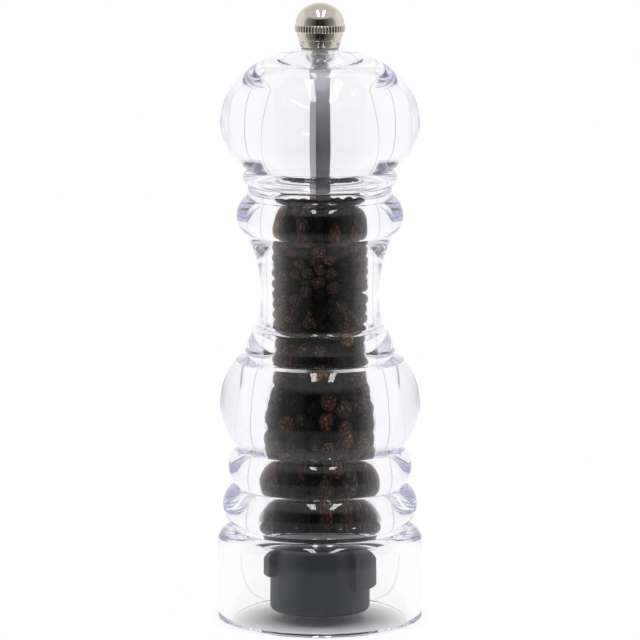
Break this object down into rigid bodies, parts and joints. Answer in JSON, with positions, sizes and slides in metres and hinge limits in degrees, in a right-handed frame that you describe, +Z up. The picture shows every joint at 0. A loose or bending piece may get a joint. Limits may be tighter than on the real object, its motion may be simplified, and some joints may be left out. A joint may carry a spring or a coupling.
{
  "type": "pepper mill",
  "caption": "Clear turned pepper mill: its ball head turns a square rod and the burrs under the chamber of peppercorns, and a knurled nut on top sets how fine it grinds.",
  "frame": {"origin": "on the mill's axis, in the plane of the table that it stands on", "axes": "+Z up along the mill's axis, -Y towards the viewer of the picture, +X to the right"},
  "size_m": [0.0632, 0.0632, 0.19],
  "materials": {
    "clear_acrylic": "polished",
    "bright_plate": "bright nickel plate",
    "brass": "turned",
    "white_nylon": "moulded",
    "rod_alloy": "drawn",
    "peppercorn": "dried and wrinkled",
    "steel_sheet": "stamped",
    "steel_screw": "zinc plated",
    "grey_plastic": "moulded, fine texture",
    "burr_steel": "hardened",
    "spring_wire": "drawn"
  },
  "bodies": {
    "mill_body": {"body": "clear_acrylic", "peppercorn_charge": "peppercorn", "feed_plate": "steel_sheet", "guide_bush": "white_nylon", "plate_screws": "steel_screw", "grinder_housing": "grey_plastic", "outer_burr": "burr_steel", "burr_ring": "burr_steel"},
    "drive": {"spring": "spring_wire", "upper_thrust_washer": "steel_screw"},
    "spindle": {"drive_rod": "rod_alloy", "inner_burr": "burr_steel", "inner_burr_washer": "steel_screw", "inner_burr_nut": "steel_screw", "lower_thrust_washer": "steel_screw"},
    "head": {"head": "clear_acrylic", "nut_washer": "white_nylon"},
    "nut": {"ball_nut": "bright_plate", "nut_insert": "brass"}
  },
  "joints": [
    {"name": "head_turn", "type": "hinge", "parent": "mill_body", "child": "drive", "pos_m": [0, 0, 0], "axis": [0, 0, 1], "continuous": true},
    {"name": "grind_adjust", "type": "slide", "parent": "drive", "child": "spindle", "axis": [0, 0, 1], "range_m": [-0.0008, 0.0003], "deforming": ["spring"]},
    {"name": "head_lift", "type": "slide", "parent": "drive", "child": "head", "axis": [0, 0, 1], "range_m": [0, 0.075]},
    {"name": "nut_turn", "type": "hinge", "parent": "head", "child": "nut", "pos_m": [0, 0, 0.18], "axis": [0, 0, 1], "range_deg": [-136, 361]}
  ],
  "couplings": [
    {"joint": "nut_turn", "follows": "grind_adjust", "rad_per_m": -7854}
  ]
}
